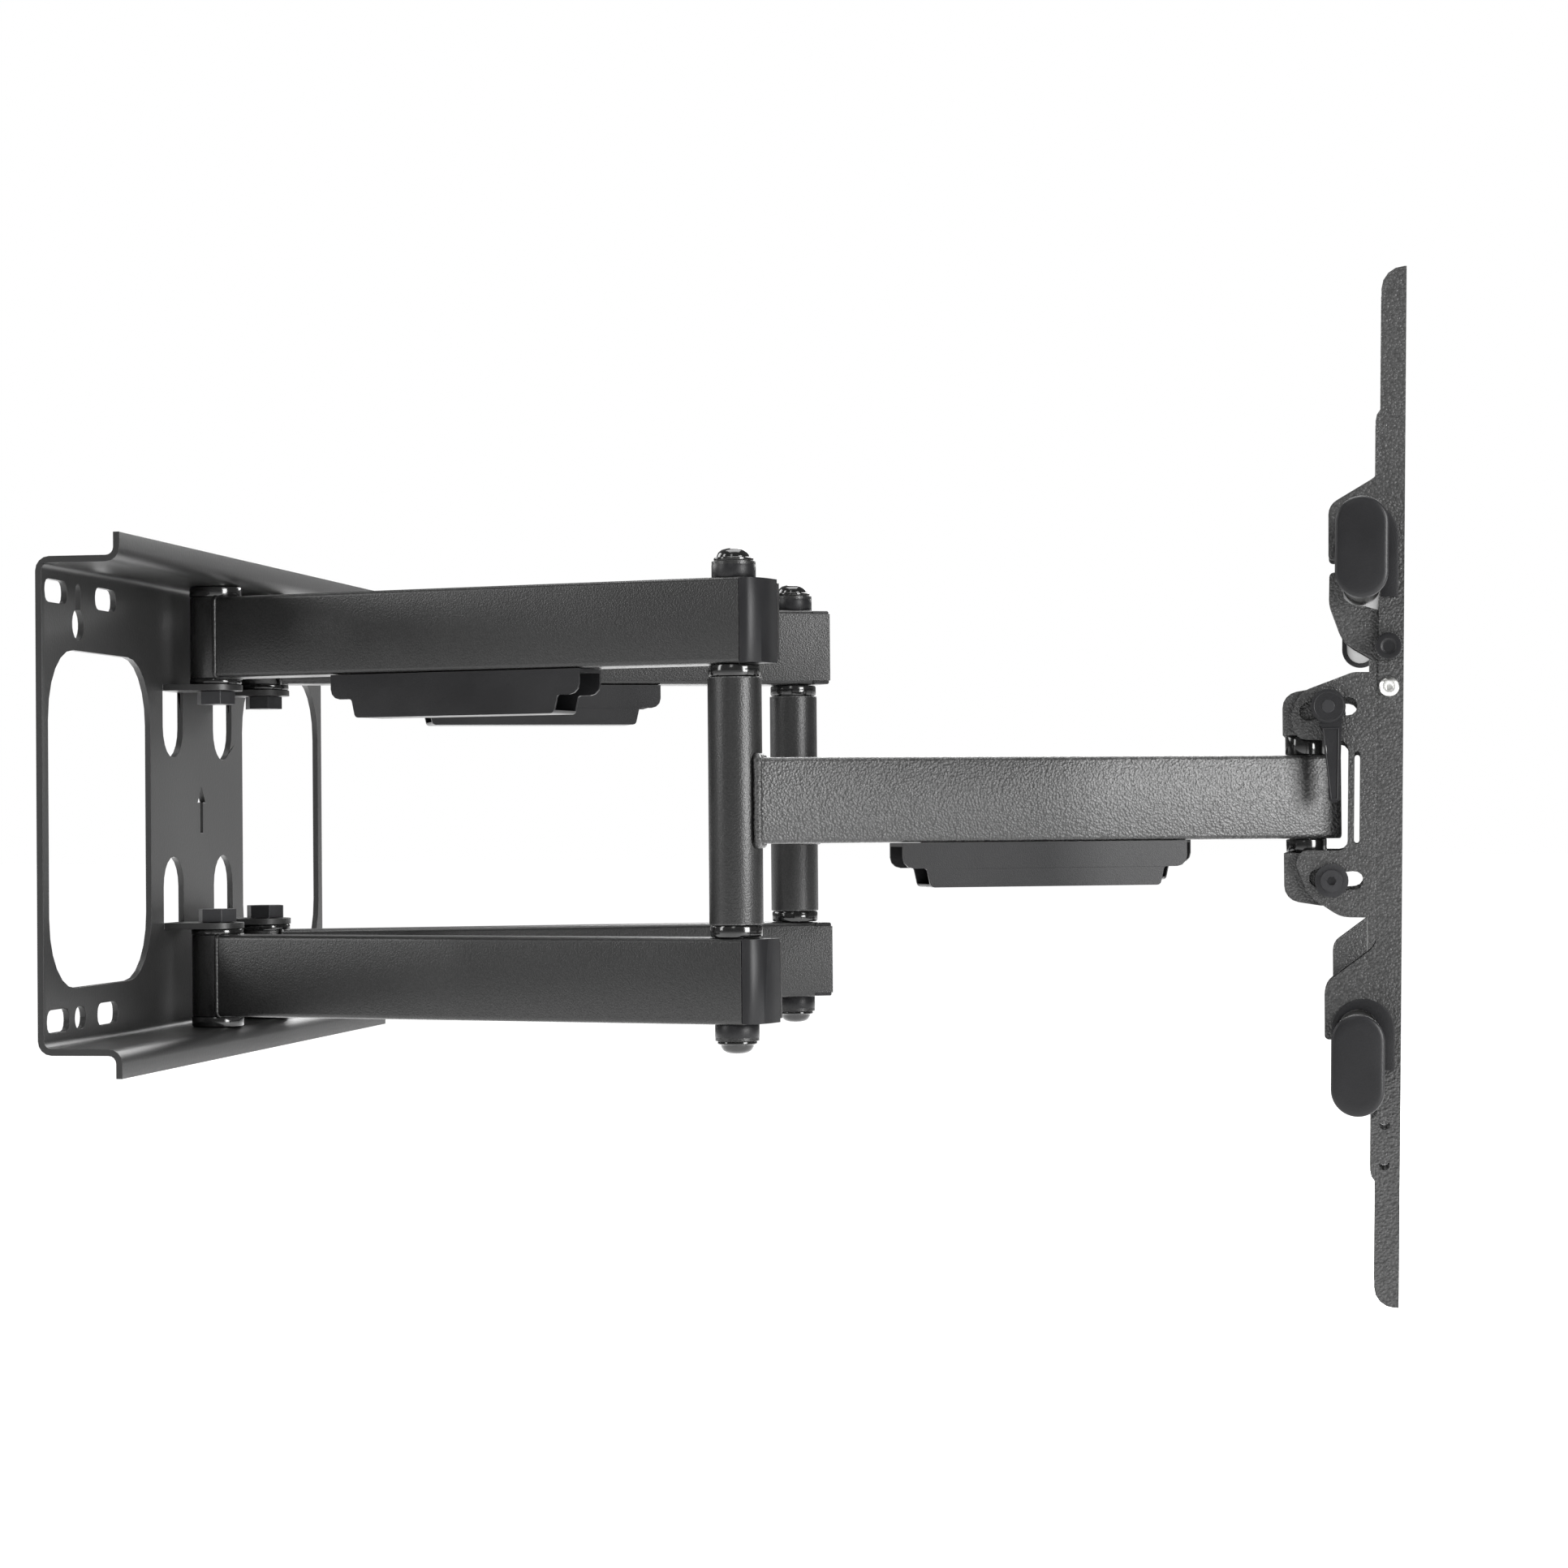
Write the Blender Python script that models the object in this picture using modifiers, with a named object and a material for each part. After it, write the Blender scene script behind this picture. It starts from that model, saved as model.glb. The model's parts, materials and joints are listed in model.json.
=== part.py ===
"""Full motion TV wall mount: a wall plate, two elbowed arm pairs, a tilting head and two TV rails.

The wall is the plane X = 0, +X points from the wall to the TV, +Z is up. The origin is the centre of the
wall plate's back face. "near" pieces are on the -Y side, "far" pieces on the +Y side.
The four arms have one length and the pivots one spacing, so each side is a parallelogram with the other.
"""

import math

import bmesh
import bpy
from mathutils import Matrix, Vector

GAP = 0.0003  # clearance between pieces that rest on each other
SIDES = {"near": -1, "far": 1}
LEVELS = {"upper": 1, "lower": -1}

# Wall plate
SHEET = 0.003
WALL_WIDTH = 0.432
WALL_HALF_HEIGHT = 0.1122
FLANGE_DEPTH = 0.0397
LIP_TOP = 0.1225
WINDOW_INNER, WINDOW_OUTER = 0.0718, 0.2085
WINDOW_TOP, WINDOW_BOTTOM = 0.0717, -0.0835
SLOT_Y, SLOT_Z, SLOT_LENGTH, SLOT_HEIGHT = (0.1980, 0.1335), 0.0975, 0.028, 0.0105
KEYHOLE_Y = 0.170
TONGUE_WIDTH, TONGUE_REACH = 0.030, 0.013
TONGUE_Z = 0.0575

# Linkage
ARM_LENGTH = 0.2833
PIVOT_X, PIVOT_Y = 0.02545, 0.03876
SPREAD = math.radians(18.71)  # half the angle at each elbow
SWING = math.radians(4.34)  # how far the arm pairs are swung towards the far side
TUBE_HEIGHT, TUBE_WIDTH, TUBE_WALL, TUBE_CORNER = 0.040, 0.025, 0.002, 0.0022
REAR_TUBE_Z = 0.0836  # middle of the upper rear tube
BOLT_RADIUS, BOLT_HOLE = 0.005, 0.0054
HEX_ACROSS_FLATS = 0.017
SPACER_RADIUS = 0.0128

# Elbows
ELBOW_PIN_RADIUS, ELBOW_BORE = 0.006, 0.0064
SLEEVE_RADIUS, SLEEVE_HALF = 0.0126, 0.0575
COLLAR_RADIUS, COLLAR_HEIGHT = 0.0103, 0.0078
OUTER_WALL_PAST_ELBOW, INNER_WALL_PAST_ELBOW = 0.0078, 0.0175
FOREARM_PAST_PIVOT = 0.0135

# Head
HEAD_RING_RADIUS = 0.0094
YOKE_BASE_Z = {"upper": 0.0297, "lower": 0.0270}
YOKE_THICKNESS = 0.004
YOKE_EAR_Y = 0.0524
TILT_AXIS_X = 0.578
TILT_AT_REST = math.radians(1.0)
TILT_BOLTS = {"upper": (-0.0058, 0.0431), "lower": (-0.0051, -0.0403)}  # X and Z from the tilt axis
TILT_SLOTS = {"upper": (-9.0, 12.5), "lower": (-3.2, 12.0)}  # middle and half angle, from vertical
TILT_EAR_INNER, TILT_EAR_OUTER = 0.0530, 0.0560
TILT_SLOT_HALF_WIDTH = 0.0045

# TV side, in the tilting frame
CROSSBAR_X = 0.0085
CROSSBAR_Z = {"upper": 0.0985, "lower": -0.1095}
CROSSBAR_WIDTH, CROSSBAR_HEIGHT, CROSSBAR_WALL = 0.0154, 0.0360, 0.0018
CROSSBAR_HALF_LENGTH = 0.332
CAP_WIDTH, CAP_HEIGHT, CAP_THICKNESS = 0.0213, 0.0410, 0.0033
SPINE_BACK, SPINE_FRONT = 0.0128, 0.0160
RAIL_Y = 0.2496
RAIL_HALF_WIDTH = 0.013
RAIL_SHEET = 0.002
RAIL_TOP, RAIL_BOTTOM = 0.2220, -0.2156
RAIL_BACK, RAIL_FRONT = 0.0159, 0.0263
SLOT_LEFT, SLOT_RIGHT = 0.0004, 0.0166
LATCH_SIDE = "near"
LATCH_PIVOT = (0.0204, 0.0450)
KNOB_AT = (0.0200, 0.0618)


def clear_scene():
    for thing in list(bpy.data.objects):
        bpy.data.objects.remove(thing, do_unlink=True)
    for group in list(bpy.data.collections):
        bpy.data.collections.remove(group)


def new_collection(name):
    group = bpy.data.collections.new(name)
    bpy.context.scene.collection.children.link(group)
    return group


clear_scene()
PARTS = new_collection("full_motion_tv_wall_mount")
CUTTERS = new_collection("cutters")


def make_material(name, colour, roughness, metallic):
    made = bpy.data.materials.new(name)
    made.use_nodes = True
    shader = made.node_tree.nodes["Principled BSDF"]
    shader.inputs["Base Color"].default_value = (*colour, 1.0)
    shader.inputs["Roughness"].default_value = roughness
    shader.inputs["Metallic"].default_value = metallic
    made.diffuse_color = (*colour, 1.0)
    return made


TEXTURED_BLACK = make_material("textured_black_paint", (0.035, 0.035, 0.036), 0.6, 0.1)
SATIN_BLACK = make_material("satin_black_paint", (0.022, 0.022, 0.023), 0.42, 0.2)
BLACK_PLASTIC = make_material("black_plastic", (0.02, 0.02, 0.021), 0.5, 0.0)
GLOSS_BLACK = make_material("gloss_black_plastic", (0.012, 0.012, 0.012), 0.18, 0.0)
BLACK_STEEL = make_material("black_steel", (0.03, 0.03, 0.032), 0.3, 0.9)
BRIGHT_STEEL = make_material("bright_steel", (0.75, 0.75, 0.76), 0.25, 1.0)


# Outlines ---------------------------------------------------------------------------------------------


def rounded(corners, steps=4):
    """The outline through corners (u, v, radius), each turned by an arc of that radius."""
    points = []
    count = len(corners)
    for i, (u, v, radius) in enumerate(corners):
        here = Vector((u, v))
        back = Vector(corners[i - 1][:2]) - here
        ahead = Vector(corners[(i + 1) % count][:2]) - here
        if radius <= 0:
            points.append((u, v))
            continue
        half = back.angle(ahead) / 2
        centre = here + (back.normalized() + ahead.normalized()).normalized() * radius / math.sin(half)
        start = here + back.normalized() * radius / math.tan(half) - centre
        end = here + ahead.normalized() * radius / math.tan(half) - centre
        turn = start.angle_signed(end)
        for step in range(steps + 1):
            arm = start.copy()
            arm.rotate(Matrix.Rotation(-turn * step / steps, 2))
            points.append(tuple(centre + arm))
    return points


def rectangle(u0, v0, u1, v1, radius=0.0, steps=3):
    return rounded([(u0, v0, radius), (u1, v0, radius), (u1, v1, radius), (u0, v1, radius)], steps)


def circle(u, v, radius, count=24):
    turn = 2 * math.pi / count
    return [(u + radius * math.cos(turn * i), v + radius * math.sin(turn * i)) for i in range(count)]


def obround(u, v, width, height, steps=6):
    """A slot with round ends: the ends are half circles across the shorter side."""
    radius = min(width, height) / 2 * 0.999
    return rectangle(u - width / 2, v - height / 2, u + width / 2, v + height / 2, radius, steps)


def arc_slot(radius, middle, half_angle, half_width, steps=10, downwards=False):
    """A slot of one width along an arc about (0, 0). Angles are from +v, or from -v when downwards."""
    flip = -1 if downwards else 1

    def at(r, angle):
        return (r * math.sin(angle), flip * r * math.cos(angle))

    def end(angle, sense):
        u, v = at(radius, angle)
        turned_points = []
        for step in range(1, 6):
            swing = sense * math.pi * step / 6
            out = half_width * math.cos(swing)
            along = half_width * math.sin(abs(swing)) * sense
            r_u, r_v = math.sin(angle), flip * math.cos(angle)
            t_u, t_v = math.cos(angle), -flip * math.sin(angle)
            turned_points.append((u + r_u * out * sense + t_u * along, v + r_v * out * sense + t_v * along))
        return turned_points

    angles = [middle - half_angle + 2 * half_angle * i / steps for i in range(steps + 1)]
    outer = [at(radius + half_width, a) for a in angles]
    inner = [at(radius - half_width, a) for a in reversed(angles)]
    return outer + end(angles[-1], 1) + inner + end(angles[0], -1)


# Solids -----------------------------------------------------------------------------------------------

PLANES = {
    "XY": Matrix(((1, 0, 0, 0), (0, 1, 0, 0), (0, 0, 1, 0), (0, 0, 0, 1))),
    "XZ": Matrix(((1, 0, 0, 0), (0, 0, -1, 0), (0, 1, 0, 0), (0, 0, 0, 1))),
    "YZ": Matrix(((0, 0, 1, 0), (1, 0, 0, 0), (0, 1, 0, 0), (0, 0, 0, 1))),
}


def flat_mesh(name, outlines, low, high, plane):
    """The mesh between low and high on the plane's third axis of outlines, where an inner one is a hole."""
    curve = bpy.data.curves.new(name, "CURVE")
    curve.dimensions = "2D"
    curve.fill_mode = "BOTH"
    curve.extrude = (high - low) / 2
    for outline in outlines:
        spline = curve.splines.new("POLY")
        spline.points.add(len(outline) - 1)
        for point, (u, v) in zip(spline.points, outline):
            point.co = (u, v, 0, 1)
        spline.use_cyclic_u = True
    holder = bpy.data.objects.new(name, curve)
    CUTTERS.objects.link(holder)
    bpy.context.view_layer.update()
    graph = bpy.context.evaluated_depsgraph_get()
    mesh = bpy.data.meshes.new_from_object(holder.evaluated_get(graph), depsgraph=graph)
    bpy.data.objects.remove(holder)
    middle = (high + low) / 2 * (-1 if plane == "XZ" else 1)
    mesh.transform(PLANES[plane] @ Matrix.Translation((0, 0, middle)))
    clean(mesh)
    return mesh


def clean(mesh):
    work = bmesh.new()
    work.from_mesh(mesh)
    bmesh.ops.remove_doubles(work, verts=work.verts, dist=1e-6)
    bmesh.ops.recalc_face_normals(work, faces=work.faces)
    work.to_mesh(mesh)
    work.free()


def joined(name, meshes):
    """One mesh that holds several, for cutters that make all of a piece's holes at once."""
    work = bmesh.new()
    for mesh in meshes:
        work.from_mesh(mesh)
    made = bpy.data.meshes.new(name)
    work.to_mesh(made)
    work.free()
    return made


def rod_mesh(name, radius, low, high, at=(0.0, 0.0), count=24, axis="Z"):
    """A round bar along Z, or along Y when axis says so, through the point at on the other two axes."""
    work = bmesh.new()
    bmesh.ops.create_cone(
        work, cap_ends=True, segments=count, radius1=radius, radius2=radius, depth=high - low
    )
    made = bpy.data.meshes.new(name)
    work.to_mesh(made)
    work.free()
    if axis == "Z":
        made.transform(Matrix.Translation((at[0], at[1], (high + low) / 2)))
    else:
        made.transform(Matrix.Translation((at[0], (high + low) / 2, at[1])) @ Matrix.Rotation(math.pi / 2, 4, "X"))
    return made


def piece(name, mesh, material, frame=None):
    made = bpy.data.objects.new(name, mesh)
    PARTS.objects.link(made)
    mesh.materials.clear()
    mesh.materials.append(material)
    made.parent = frame
    return made


def tool(name, mesh, frame=None):
    made = bpy.data.objects.new(name, mesh)
    CUTTERS.objects.link(made)
    made.parent = frame
    made.hide_render = True
    made.display_type = "WIRE"
    return made


def boolean(target, other, operation):
    step = target.modifiers.new(other.name, "BOOLEAN")
    step.operation = operation
    step.object = other
    step.solver = "EXACT"


def cut(target, mesh):
    boolean(target, tool(f"{target.name}_cut", mesh, target.parent), "DIFFERENCE")


def add(target, mesh):
    boolean(target, tool(f"{target.name}_add", mesh, target.parent), "UNION")


def bevel(target, width, segments=1):
    step = target.modifiers.new("edges", "BEVEL")
    step.width = width
    step.segments = segments
    step.limit_method = "ANGLE"
    step.angle_limit = math.radians(50)


def turned(name, profile, material, frame, at, along="Z", steps=20, flip=False):
    """A turned piece: profile (radius, height) from its top down, swept round its own axis by a Screw."""
    mesh = bpy.data.meshes.new(name)
    work = bmesh.new()
    rim = [work.verts.new((radius, 0, height)) for radius, height in profile]
    for first, second in zip(rim, rim[1:]):
        work.edges.new((first, second))
    work.to_mesh(mesh)
    work.free()
    made = piece(name, mesh, material, frame)
    sweep = made.modifiers.new("turn", "SCREW")
    sweep.steps = sweep.render_steps = steps
    sweep.use_merge_vertices = True
    sweep.merge_threshold = 1e-5
    made.location = at
    quarter = math.pi / 2
    if along == "Y":
        made.rotation_euler = (-quarter if flip else quarter, 0, 0)
    elif flip:
        made.rotation_euler = (math.pi, 0, 0)
    return made


def frame_at(name, location, turn_z=0.0, turn_y=0.0, parent=None):
    made = bpy.data.objects.new(name, None)
    PARTS.objects.link(made)
    made.location = location
    made.rotation_euler = (0, turn_y, turn_z)
    made.parent = parent
    return made


def hexagon(u, v, across_flats):
    corner = across_flats / math.sqrt(3)
    return circle(u, v, corner, 6)


# Wall plate and its pivots ----------------------------------------------------------------------------


def wall_section():
    """The plate bent from one sheet: web, two flanges and two lips, as a closed outline in X and Z."""
    half, lip = WALL_HALF_HEIGHT, LIP_TOP
    inner, outer = 0.0035, 0.0035 + SHEET
    reach = FLANGE_DEPTH - SHEET
    top = [
        (SHEET, half - SHEET, inner),
        (FLANGE_DEPTH, half - SHEET, outer),
        (FLANGE_DEPTH, lip, 0.0),
        (reach, lip, 0.0),
        (reach, half, inner),
        (0.0, half, outer),
    ]
    bottom = [(u, -v, radius) for u, v, radius in reversed(top)]
    return rounded(top + bottom, 4)


def keyhole(y, z):
    """A hanging hole: a round eye with a narrow neck above it."""
    eye, neck, rise = 0.0075, 0.00325, 0.0155
    start = math.asin(neck / eye)
    arc = [start + (2 * math.pi - 2 * start) * i / 16 for i in range(17)]
    eye_points = [(y + eye * math.sin(a), z + eye * math.cos(a)) for a in arc]
    neck_points = [(y + neck * math.cos(a), z + rise + neck * math.sin(a)) for a in
                   [math.pi * (1 - i / 6) for i in range(7)]]
    return eye_points + neck_points


def arrow(y, z):
    """The level mark: a small arrow that points up. Its stem stands beside the origin, which stays solid."""
    head, stem, tip, tail = 0.0060, 0.0021, 0.0080, 0.0155
    return [
        (y, z + tip), (y - head, z), (y - stem, z), (y - stem, z - tail),
        (y + stem, z - tail), (y + stem, z), (y + head, z),
    ]


def wall_openings():
    outlines = [arrow(0.0046, 0.0025)]
    half_l, half_h = SLOT_LENGTH / 2, SLOT_HEIGHT / 2
    for side in SIDES.values():
        low, high = sorted((side * WINDOW_INNER, side * WINDOW_OUTER))
        outlines.append(rectangle(low, WINDOW_BOTTOM, high, WINDOW_TOP, 0.032, 6))
        for y in SLOT_Y:
            for z in (SLOT_Z, -SLOT_Z):
                outlines.append(
                    rectangle(side * y - half_l, z - half_h, side * y + half_l, z + half_h, 0.0045, 3)
                )
        outlines.append(keyhole(side * KEYHOLE_Y, 0.0840))
        outlines.append(obround(side * KEYHOLE_Y, -SLOT_Z, 0.0140, SLOT_HEIGHT, 5))
        half, edge = TONGUE_WIDTH / 2, TONGUE_Z + 0.0013
        for level in LEVELS.values():
            arc = [math.pi * i / 10 for i in range(11)]
            end = [(side * PIVOT_Y + half * math.cos(a), level * (0.0397 - half * math.sin(a))) for a in arc]
            outlines.append([(end[0][0], level * edge)] + end + [(end[-1][0], level * edge)])
    return outlines


def tongue(side, level):
    """The tab folded out of the plate that holds a pivot bolt."""
    half, y = TONGUE_WIDTH / 2, side * PIVOT_Y
    arc = [math.pi * (0.5 - i / 10) for i in range(11)]
    end = [(PIVOT_X + TONGUE_REACH * math.cos(a), y + half * math.sin(a)) for a in arc]
    low, high = sorted((level * TONGUE_Z, level * (TONGUE_Z + SHEET)))
    return flat_mesh("tongue", [[(0.0005, y + half)] + end + [(0.0005, y - half)]], low, high, "XY")


def build_wall_plate():
    half = WALL_WIDTH / 2
    plate = piece("wall_plate", flat_mesh("wall_plate", [wall_section()], -half, half, "XZ"), SATIN_BLACK)
    cut(plate, flat_mesh("wall_openings", wall_openings(), -0.002, 0.006, "YZ"))
    tongues = [tongue(side, level) for side in SIDES.values() for level in LEVELS.values()]
    add(plate, joined("tongues", tongues))
    cut(plate, joined("pivot_holes", [
        rod_mesh("pivot_hole", BOLT_HOLE, -0.125, 0.125, (PIVOT_X, side * PIVOT_Y)) for side in SIDES.values()
    ]))


def build_wall_pivots():
    arm_top = REAR_TUBE_Z + TUBE_HEIGHT / 2 + GAP
    under_flange = WALL_HALF_HEIGHT - SHEET - GAP
    for side_name, side in SIDES.items():
        for level_name, level in LEVELS.items():
            here = (PIVOT_X, side * PIVOT_Y)
            low, high = sorted((level * arm_top, level * under_flange))
            rings = [circle(*here, SPACER_RADIUS), circle(*here, BOLT_HOLE)]
            name = f"pivot_spacer_{level_name}_{side_name}"
            piece(name, flat_mesh(name, rings, low, high, "XY"), GLOSS_BLACK)
            name = f"pivot_bolt_{level_name}_{side_name}"
            head_at = level * (TONGUE_Z - GAP)
            low, high = sorted((head_at, head_at - level * 0.0064))
            bolt = piece(name, flat_mesh(name, [hexagon(*here, HEX_ACROSS_FLATS)], low, high, "XY"), BLACK_STEEL)
            low, high = sorted((head_at - level * 0.001, level * (WALL_HALF_HEIGHT + 0.004)))
            add(bolt, rod_mesh("shank", BOLT_RADIUS, low, high, here))


# Arms -------------------------------------------------------------------------------------------------


def tube_section(width, height, corner, wall):
    half_w, half_h = width / 2, height / 2
    inner = max(corner - wall, 0.0004)
    return [
        rectangle(-half_w, -half_h, half_w, half_h, corner, 3),
        rectangle(-half_w + wall, -half_h + wall, half_w - wall, half_h - wall, inner, 1),
    ]


def build_rear_arm(side_name, side, level_name, level, frame):
    """A square tube with a round boss at the wall, a bored collar at the elbow and a longer inner wall."""
    middle = level * REAR_TUBE_Z
    outer_end = ARM_LENGTH + OUTER_WALL_PAST_ELBOW
    name = f"rear_arm_{level_name}_{side_name}"
    section = tube_section(TUBE_WIDTH, TUBE_HEIGHT, TUBE_CORNER, TUBE_WALL)
    tube = flat_mesh(name, section, 0.008, outer_end, "YZ")
    tube.transform(Matrix.Translation((0, 0, middle)))
    arm = piece(name, tube, TEXTURED_BLACK, frame)
    half = TUBE_HEIGHT / 2
    add(arm, rod_mesh("boss", TUBE_WIDTH / 2, middle - half, middle + half, count=32))
    inner = -side * (TUBE_WIDTH / 2 - TUBE_WALL)
    low, high = sorted((inner, -side * TUBE_WIDTH / 2))
    leaf = rectangle(outer_end - 0.004, low, ARM_LENGTH + INNER_WALL_PAST_ELBOW, high)
    add(arm, flat_mesh("leaf", [leaf], middle - half + TUBE_CORNER, middle + half - TUBE_CORNER, "XY"))
    face = level * (REAR_TUBE_Z + half)
    low, high = sorted((face - level * 0.0001, face + level * COLLAR_HEIGHT))
    add(arm, rod_mesh("collar", COLLAR_RADIUS, low, high, (ARM_LENGTH, 0)))
    far_end = level * 0.13
    low, high = sorted((level * 0.05, far_end))
    cut(arm, joined("bores", [
        rod_mesh("wall_bore", BOLT_HOLE, low, high),
        rod_mesh("elbow_bore", ELBOW_BORE, low, high, (ARM_LENGTH, 0)),
    ]))
    build_arm_end_cap(side_name, side, level_name, middle, frame)


def build_arm_end_cap(side_name, side, level_name, middle, frame):
    """The plastic cap on a rear arm's elbow end: round on the outer side, so it clears the wall folded."""
    start = ARM_LENGTH + OUTER_WALL_PAST_ELBOW + GAP
    end = ARM_LENGTH + INNER_WALL_PAST_ELBOW
    outer = side * TUBE_WIDTH / 2
    inner = -side * (TUBE_WIDTH / 2 - TUBE_WALL - GAP)
    arc = [math.pi / 2 * i / 8 for i in range(9)]
    reach = end - start - 0.001
    depth = abs(outer) + abs(inner) - 0.006
    curved = [
        (start + 0.001 + reach * math.sin(a), outer - side * depth * (1 - math.cos(a))) for a in arc
    ]
    outline = [(start, inner), (start, outer)] + curved + [(end, inner)]
    name = f"arm_end_cap_{level_name}_{side_name}"
    half = TUBE_HEIGHT / 2 - 0.0004
    cap = piece(name, flat_mesh(name, [outline], middle - half, middle + half, "XY"), BLACK_PLASTIC, frame)
    bevel(cap, 0.0006)


def build_elbow(side_name, frame):
    """The pin through both rear tubes and the sleeve, the rings between them and the caps over its ends."""
    here = (ARM_LENGTH, 0)
    end = REAR_TUBE_Z + TUBE_HEIGHT / 2 + COLLAR_HEIGHT
    name = f"elbow_pin_{side_name}"
    piece(name, rod_mesh(name, ELBOW_PIN_RADIUS, -end + GAP, end - GAP, here), BLACK_STEEL, frame)
    for level_name, level in LEVELS.items():
        low, high = sorted((level * (SLEEVE_HALF + GAP), level * (REAR_TUBE_Z - TUBE_HEIGHT / 2 - GAP)))
        name = f"elbow_ring_{level_name}_{side_name}"
        rings = [circle(*here, 0.0122), circle(*here, ELBOW_BORE, 16)]
        piece(name, flat_mesh(name, rings, low, high, "XY"), GLOSS_BLACK, frame)
        dome = [(0.0, 0.0060), (0.0035, 0.0057), (0.0062, 0.0044), (0.0079, 0.0022), (0.0079, 0.0016),
                (0.0092, 0.0013), (0.0092, 0.0), (0.0, 0.0)]
        turned(f"elbow_dome_{level_name}_{side_name}", dome, GLOSS_BLACK, frame,
               (ARM_LENGTH, 0, level * (end + GAP)), flip=level < 0)


def build_cable_clip(name, frame, start, length, under):
    """A plastic trough under a tube: U section, its walls stepped in at both ends."""
    half, wall, depth, shoulder, step = 0.0118, 0.0016, 0.0210, 0.0120, 0.0135
    top = under - GAP
    end = start + length
    outline = rounded([
        (start, top, 0.0), (start, top - shoulder, 0.0050), (start + step - 0.002, top - shoulder, 0.0015),
        (start + step, top - depth, 0.0020), (end - step, top - depth, 0.0020),
        (end - step + 0.002, top - shoulder - 0.0002, 0.0015), (end, top - shoulder - 0.0002, 0.0050),
        (end, top, 0.0),
    ], 3)
    clip = piece(name, flat_mesh(name, [outline], -half, half, "XZ"), BLACK_PLASTIC, frame)
    hollow = rectangle(-half + wall, top - depth + wall, half - wall, top - 0.0018)
    cut(clip, flat_mesh("hollow", [hollow], start - 0.01, start + length + 0.01, "YZ"))


def build_forearm(side_name, frame):
    """A round sleeve on the elbow pin with a square tube welded to it, bored at its end for the head."""
    name = f"forearm_{side_name}"
    section = tube_section(TUBE_WIDTH, TUBE_HEIGHT, TUBE_CORNER, TUBE_WALL)
    end = ARM_LENGTH + FOREARM_PAST_PIVOT
    arm = piece(name, flat_mesh(name, section, 0.009, end, "YZ"), TEXTURED_BLACK, frame)
    add(arm, rod_mesh("sleeve", SLEEVE_RADIUS, -SLEEVE_HALF, SLEEVE_HALF, count=32))
    cut(arm, joined("bores", [
        rod_mesh("sleeve_bore", ELBOW_BORE, -0.07, 0.07),
        rod_mesh("head_bore", BOLT_HOLE, -0.03, 0.03, (ARM_LENGTH, 0)),
    ]))


def build_arms():
    fore_frames = {}
    for side_name, side in SIDES.items():
        rear_turn = side * SPREAD + SWING
        pivot = Vector((PIVOT_X, side * PIVOT_Y, 0))
        elbow = pivot + ARM_LENGTH * Vector((math.cos(rear_turn), math.sin(rear_turn), 0))
        rear = frame_at(f"rear_frame_{side_name}", pivot, rear_turn)
        fore = frame_at(f"fore_frame_{side_name}", elbow, -side * SPREAD + SWING)
        for level_name, level in LEVELS.items():
            build_rear_arm(side_name, side, level_name, level, rear)
        build_elbow(side_name, rear)
        build_forearm(side_name, fore)
        under_rear = REAR_TUBE_Z - TUBE_HEIGHT / 2
        build_cable_clip(f"cable_clip_rear_{side_name}", rear, 0.0730, 0.1350, under_rear)
        build_cable_clip(f"cable_clip_front_{side_name}", fore, 0.0775, 0.1405, -TUBE_HEIGHT / 2)
        fore_frames[side_name] = fore


# Head -------------------------------------------------------------------------------------------------


def head_centre():
    reach = 2 * ARM_LENGTH * math.cos(SPREAD)
    return Vector((PIVOT_X + reach * math.cos(SWING), reach * math.sin(SWING), 0))


def build_yoke(level_name, level, frame, bolt):
    """A channel across both head pivots: a base on the rings and an ear at each end for the tilt bolt."""
    back, front = -0.0103, 0.0180
    base = level * YOKE_BASE_Z[level_name]
    name = f"yoke_{level_name}"
    ear = rounded([
        (back, base, 0.0), (back, level * 0.0495, 0.008), (bolt[0] - 0.004, level * 0.0525, 0.009),
        (front, level * 0.0495, 0.008), (front, base, 0.0),
    ], 4)
    block = piece(name, flat_mesh(name, [ear], -YOKE_EAR_Y, YOKE_EAR_Y, "XZ"), TEXTURED_BLACK, frame)
    room = YOKE_EAR_Y - YOKE_THICKNESS
    low, high = sorted((base + level * YOKE_THICKNESS, level * 0.07))
    cut(block, flat_mesh("yoke_room", [rectangle(-room, low, room, high)], -0.03, 0.04, "YZ"))
    holes = [rod_mesh("bolt_hole", 0.0034, -0.07, 0.07, bolt, axis="Y")]
    for side in SIDES.values():
        low, high = sorted((level * 0.02, level * 0.0360))
        holes.append(rod_mesh("pin_hole", BOLT_HOLE, low, high, (0, side * PIVOT_Y)))
    cut(block, joined("yoke_holes", holes))


def build_head_pivots(frame):
    tube = TUBE_HEIGHT / 2 + GAP
    for side_name, side in SIDES.items():
        here = (0, side * PIVOT_Y)
        for level_name, level in LEVELS.items():
            low, high = sorted((level * tube, level * (YOKE_BASE_Z[level_name] - GAP)))
            name = f"head_ring_{level_name}_{side_name}"
            rings = [circle(*here, HEAD_RING_RADIUS), circle(*here, BOLT_HOLE, 16)]
            piece(name, flat_mesh(name, rings, low, high, "XY"), GLOSS_BLACK, frame)
        name = f"head_pin_{side_name}"
        top = YOKE_BASE_Z["upper"] + YOKE_THICKNESS + GAP
        pin = piece(name, flat_mesh(name, [hexagon(*here, 0.015)], top, top + 0.0055, "XY"), BLACK_STEEL, frame)
        add(pin, rod_mesh("shank", BOLT_RADIUS, -top - 0.006, top + 0.001, here))


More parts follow.
